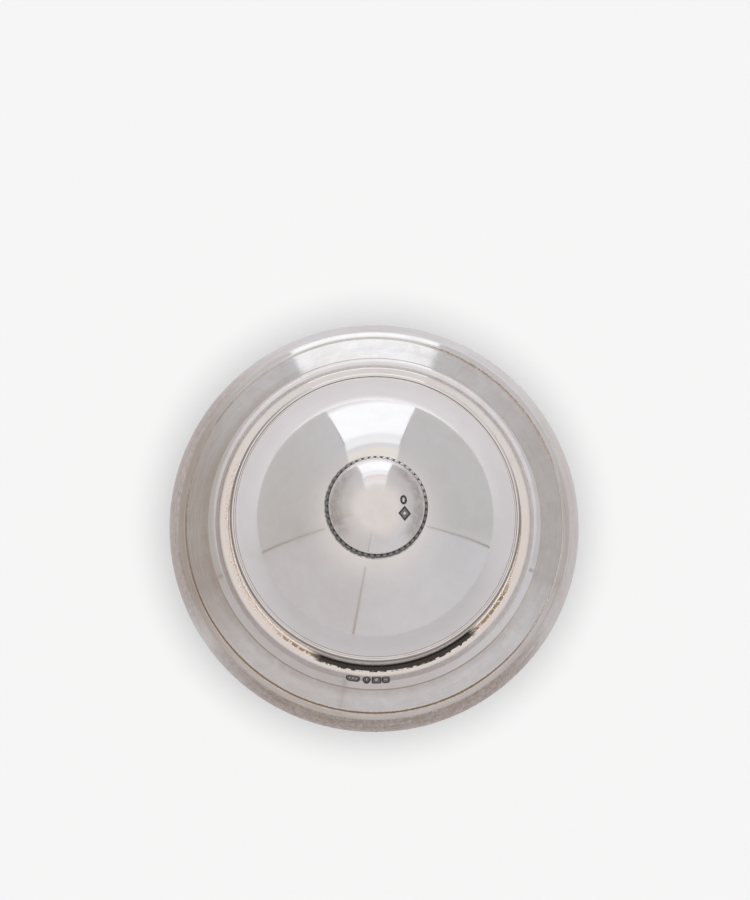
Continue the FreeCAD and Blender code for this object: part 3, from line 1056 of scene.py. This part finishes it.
# %% Floor and backdrop
FLOOR_R = 4.0
PALE = 0.913
FLOOR_IN_SILVER = (0.66, 0.64, 0.665)


def object_place(tree):
    """The three Object coordinates."""
    return put(tree, "SeparateXYZ", {0: put(tree, "TexCoord").outputs["Object"]}).outputs


def stage_piece(bm, name, material):
    """Makes a stage piece from a bmesh."""
    piece = mesh_object(bm, name)
    piece.data.materials.append(material)
    return piece


bm = bmesh.new()
bmesh.ops.create_circle(bm, cap_ends=True, radius=FLOOR_R, segments=96)
floor_paint = bpy.data.materials.new("floor_paint")
floor_paint.use_nodes = True
tree = floor_paint.node_tree
shader = tree.nodes["Principled BSDF"]
shader.inputs["Roughness"].default_value = 1.0
shader.inputs["Specular IOR Level"].default_value = 0.0
to_camera = put(tree, "LightPath").outputs["Is Camera Ray"]
FLOOR_TAKES = 0.462
FLOOR_GIVES = 0.142
seen = (*[share / PALE for share in FLOOR_IN_SILVER], 1)
# Painted light: in the silver only, the floor grows brighter towards the window at the back.
behind = object_place(tree)[1]
feeds = {"Value": behind, "From Min": -0.2, "From Max": 0.2, "To Min": 0.84, "To Max": 1.12}
window_glow_ramp = put(tree, "MapRange", feeds).outputs[0]
WINDOW_GLOW_REACH = (0.26, 0.44)
PAINTED_WINDOW_GLOW = 0.4
lit = maths(tree, "MULTIPLY_ADD", smooth_step(tree, behind, *WINDOW_GLOW_REACH), PAINTED_WINDOW_GLOW, window_glow_ramp)
tinted = put(tree, "Mix", {0: 1.0, 6: seen, 7: lit}, data_type="RGBA", blend_type="MULTIPLY").outputs[2]
colour = blend(tree, to_camera, tinted, (1, 1, 1, 1))
for socket, share in (("Base Color", FLOOR_TAKES), ("Emission Color", FLOOR_GIVES)):
    feeds = {0: 1.0, 6: colour, 7: (share, share, share, 1)}
    shared = put(tree, "Mix", feeds, data_type="RGBA", blend_type="MULTIPLY").outputs[2]
    tree.links.new(shared, shader.inputs[socket])
shader.inputs["Emission Strength"].default_value = 1.0
stage_piece(bm, "floor", floor_paint)

world = bpy.data.worlds.new("backdrop")
scene.world = world
world.use_nodes = True
SKY = 0.336                        # what the backdrop gives to the floor
tree = world.node_tree
to_camera = put(tree, "LightPath").outputs["Is Camera Ray"]
backdrop = blend(tree, to_camera, (SKY * 0.97, SKY * 0.98, SKY * 1.05, 1), (PALE, PALE, PALE, 1))
tree.links.new(backdrop, tree.nodes["Background"].inputs["Color"])

sun = bpy.data.lights.new("soft_top_light", "SUN")
sun.energy = 4.25
sun.angle = math.radians(34)            # as wide as a soft box
sun.color = (1.008, 1.005, 0.988)
sun_piece = add_object("soft_top_light", sun)
sun_piece.visible_glossy = False

# %% [markdown]
# The tent's wall is a few curved cards that stand edge to edge with dark seams between them. Each card is made by
# spinning an upright line through part of a turn. The colours of the wall change slowly with the bearing, which is
# what gives each side of the silver its own tone.

# %% Cards round the bowl
TENT_R = 0.48
WALL_TOP = 0.90
SEAM = 0.8
EYE = 0.08
WINDOW_FROM = -23
WINDOW_TO = 19


def at_slope(degrees):
    """Height on the wall that a line from the lid meets when it rises by so many degrees."""
    return EYE + TENT_R * math.tan(math.radians(degrees))


def glow(name):
    """A card material that only gives off light. Returns it, its tree and its emission node."""
    material = bpy.data.materials.new(name)
    material.use_nodes = True
    tree = material.node_tree
    tree.nodes.remove(tree.nodes["Principled BSDF"])
    light = put(tree, "Emission", {"Strength": 1.0})
    tree.links.new(light.outputs[0], tree.nodes["Material Output"].inputs["Surface"])
    return material, tree, light


def ramp(tree, value, stops):
    """A colour ramp through (position, colour) stops."""
    node = put(tree, "ValToRGB", {0: value})
    elements = node.color_ramp.elements
    while len(elements) < len(stops):
        elements.new(1.0)
    for element, (position, colour) in zip(elements, stops):
        element.position = position
        element.color = (*colour, 1)
    return node.outputs["Color"]


def card(name, start, end, low, high, material, reach=TENT_R):
    """A curved upright card from one bearing to another."""
    bm = bmesh.new()
    side = (reach * math.sin(math.radians(start)), reach * math.cos(math.radians(start)))
    ends = [bm.verts.new((*side, height)) for height in (low, high)]
    bm.edges.new(ends)
    bmesh.ops.spin(bm, geom=bm.verts[:] + bm.edges[:], cent=(0, 0, 0), axis=(0, 0, -1),
                   angle=math.radians(end - start), steps=max(1, round((end - start) / 3)), use_duplicate=False)
    return hidden_from_camera(stage_piece(bm, name, material))


def hidden_from_camera(piece):
    """Lets only mirrored rays see a stage piece."""
    piece.visible_camera = False
    piece.visible_diffuse = False
    piece.visible_shadow = False
    return piece


wall_paper, tree, light = glow("wall_paper")
parts = object_place(tree)
turn = maths(tree, "WRAP", maths(tree, "ARCTAN2", parts[0], parts[1]), 2 * math.pi, 0)
around = maths(tree, "DIVIDE", turn, 2 * math.pi)
tones_by_bearing = [
    (0, (0.57, 0.56, 0.58)),
    (45, (0.565, 0.553, 0.57)),
    (95, (0.545, 0.535, 0.55)),
    (102, (0.60, 0.60, 0.63)),
    (150, (0.63, 0.615, 0.64)),
    (190, (0.605, 0.59, 0.61)),
    (194, (0.585, 0.562, 0.575)),
    (250, (0.572, 0.552, 0.562)),
    (258, (0.525, 0.505, 0.495)),
    (300, (0.545, 0.53, 0.53)),
    (337, (0.585, 0.575, 0.60)),
]
wall_tones = ramp(tree, around, [(bearing / 360, tone) for bearing, tone in tones_by_bearing])
TOP_TONE = (0.74, 0.70, 0.69, 1)
near_top = smooth_step(tree, parts[2], at_slope(26), at_slope(59))
tree.links.new(blend(tree, near_top, wall_tones, TOP_TONE), light.inputs["Color"])

seam_paper, tree, light = glow("seam_shadow")
light.inputs["Color"].default_value = (0.30, 0.24, 0.19, 1)

seams = [WINDOW_TO, 101, 191, 256, 360 + WINDOW_FROM]
for number, (start, end) in enumerate(zip(seams, seams[1:]), 1):
    card(f"tent_card_{number}", start, end, 0, WALL_TOP, wall_paper)
seam_top = at_slope(50)
for number, bearing in enumerate(seams[1:-1], 1):
    card(f"tent_seam_{number}", bearing - SEAM / 2, bearing + SEAM / 2, 0, seam_top, seam_paper, TENT_R - 0.002)

# %% [markdown]
# The window fills the opening, fades where it meets the floor and grows wider near its top. Over it hang a paler
# strip, a grey bar and a cream blind. The tent's top is a slightly rosy sheet.

# %% Window and top sheet
WINDOW_R = TENT_R - 0.004
window_light, tree, light = glow("window_light")
parts = object_place(tree)
slant = maths(tree, "MULTIPLY_ADD", parts[0], 0.12, parts[2])
level = maths(tree, "DIVIDE", slant, WALL_TOP)
tones_by_slope = [
    (-5.5, (1.06, 1.08, 1.13)),
    (23, (1.05, 1.07, 1.12)),
    (26, (0.90, 0.91, 0.95)),
    (32, (0.95, 0.96, 1.0)),
    (33.5, (0.74, 0.74, 0.77)),
    (36.5, (0.78, 0.77, 0.79)),
    (38, (0.85, 0.81, 0.77)),
    (43, (0.84, 0.79, 0.75)),
    (45, (0.86, 0.88, 0.93)),
    (52, (0.78, 0.75, 0.75)),
]
stops = [(at_slope(slope) / WALL_TOP, tone) for slope, tone in tones_by_slope]
window_tones = ramp(tree, level, [(0.0, (0.80, 0.80, 0.84)), *stops, (1.0, TOP_TONE[:3])])
tree.links.new(window_tones, light.inputs["Color"])
WINDOW_ROWS = [               # height, then how far the left and right edges lean outwards
    (0, 0, 0),
    (at_slope(28), -0.8, -0.8),
    (at_slope(45), 3.5, 1.8),
    (WALL_TOP, 7, 3),
]
COLUMNS = 14
bm = bmesh.new()
grid = []
for height, lean_left, lean_right in WINDOW_ROWS:
    start = WINDOW_FROM - lean_left
    end = WINDOW_TO + lean_right
    bearings = [math.radians(start + (end - start) * i / COLUMNS) for i in range(COLUMNS + 1)]
    grid.append([bm.verts.new((WINDOW_R * math.sin(b), WINDOW_R * math.cos(b), height)) for b in bearings])
for low, high in zip(grid, grid[1:]):
    for i in range(COLUMNS):
        bm.faces.new((low[i], low[i + 1], high[i + 1], high[i]))
hidden_from_camera(stage_piece(bm, "tent_window", window_light))

top_paper, tree, light = glow("top_sheet")
light.inputs["Color"].default_value = TOP_TONE
bm = bmesh.new()
bmesh.ops.create_circle(bm, cap_ends=True, radius=TENT_R, segments=96, matrix=Matrix.Translation((0, 0, WALL_TOP)))
hidden_from_camera(stage_piece(bm, "tent_top", top_paper))

# %% [markdown]
# ## The camera
#
# The bowl is seen from above, a few degrees to the front of upright. The rim's centre sits a little below the middle
# of the frame, so the camera aims at a point behind it.

# %% Camera
RIM = Vector((0, 0, 0.051))
TO_CAMERA = Vector((-0.0137, -0.1133, 1)).normalized()
DISTANCE = 1.1
VIEW_HEIGHT = 0.2424
AIM_BEHIND = 0.02005
AIM_ASIDE = 0.00014

lens = bpy.data.cameras.new("camera")
lens.sensor_width = 36
lens.lens = lens.sensor_width * DISTANCE / VIEW_HEIGHT
lens.clip_start = 0.01
lens.clip_end = 10
camera = add_object("camera", lens)
scene.camera = camera
up = (Vector((0, 1, 0)) - TO_CAMERA * TO_CAMERA.y).normalized()
aside = up.cross(TO_CAMERA)
place = RIM + TO_CAMERA * DISTANCE
back = (place - (RIM + up * AIM_BEHIND + aside * AIM_ASIDE)).normalized()
up = (Vector((0, 1, 0)) - back * back.y).normalized()
turn = Matrix((up.cross(back), up, back)).transposed()
camera.matrix_world = Matrix.Translation(place) @ turn.to_4x4()
LIGHT_LEAN = 1.4                   # the light stands almost behind the camera, a little to the back and left
from_light = Matrix.Rotation(math.radians(LIGHT_LEAN), 3, Vector((-0.9, 0.44, 0))) @ back
sun_piece.rotation_euler = from_light.to_track_quat("Z", "Y").to_euler()
print(f"camera {DISTANCE:.2f} m away, lens {lens.lens:.0f} mm")
